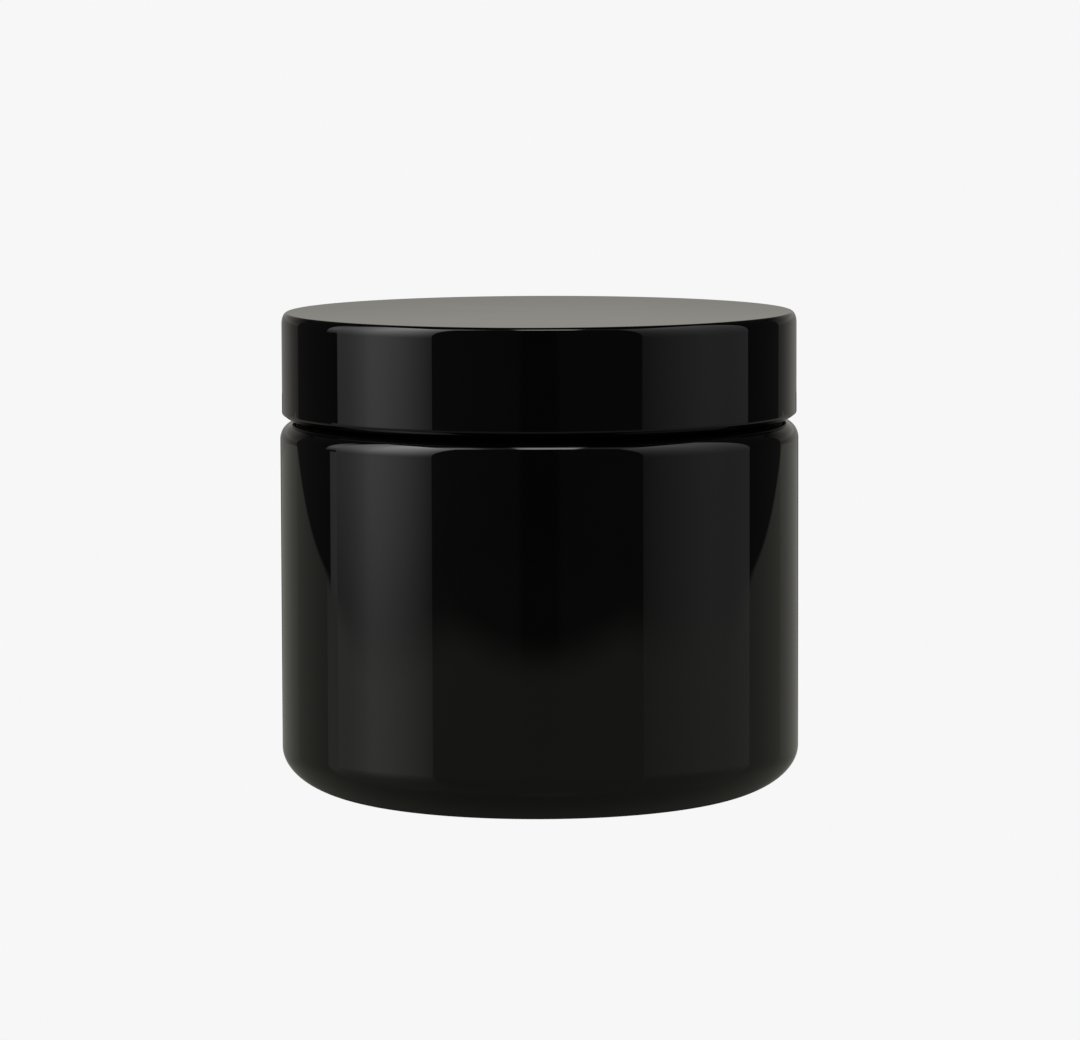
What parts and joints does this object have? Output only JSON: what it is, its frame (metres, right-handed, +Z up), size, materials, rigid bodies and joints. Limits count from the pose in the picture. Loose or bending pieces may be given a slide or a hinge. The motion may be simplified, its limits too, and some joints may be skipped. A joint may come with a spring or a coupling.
{
  "type": "cosmetic cream jar",
  "caption": "Round black glass cream jar with a smooth screw lid as wide as the jar, a foam liner in the lid, and a sealing disc with a lift tab in the mouth.",
  "frame": {"origin": "centre of the base, on the surface that the jar stands on", "axes": "+Z up along the axis of the jar and its lid"},
  "size_m": [0.07, 0.07, 0.0656],
  "materials": {
    "black_glass": "fire-polished, opaque, high gloss",
    "gloss_black_plastic": "piano black, high gloss",
    "black_polypropylene": "moulded, satin",
    "white_foam": "polyethylene foam with a smooth film face",
    "milky_polyethylene": "natural polyethylene, satin"
  },
  "bodies": {
    "jar": {"jar_body": "black_glass"},
    "liner": {"lid_liner": "white_foam"},
    "lid": {"lid_shell": "gloss_black_plastic", "lid_insert": "black_polypropylene"},
    "seal": {"sealing_disc": "milky_polyethylene"}
  },
  "joints": [
    {"name": "lid_lift", "type": "slide", "parent": "jar", "child": "liner", "axis": [0, 0, 1], "range_m": [0, 0.017]},
    {"name": "lid_turn", "type": "hinge", "parent": "liner", "child": "lid", "pos_m": [0, 0, 0.058], "axis": [0, 0, 1], "range_deg": [0, 1440]},
    {"name": "disc_lift", "type": "slide", "parent": "jar", "child": "seal", "axis": [0, 0, 1], "range_m": [0, 0.0051]}
  ],
  "couplings": [
    {"joint": "lid_lift", "follows": "lid_turn", "m_per_rad": 0.0006737},
    {"joint": "disc_lift", "follows": "lid_turn", "m_per_rad": 0.00020211}
  ]
}
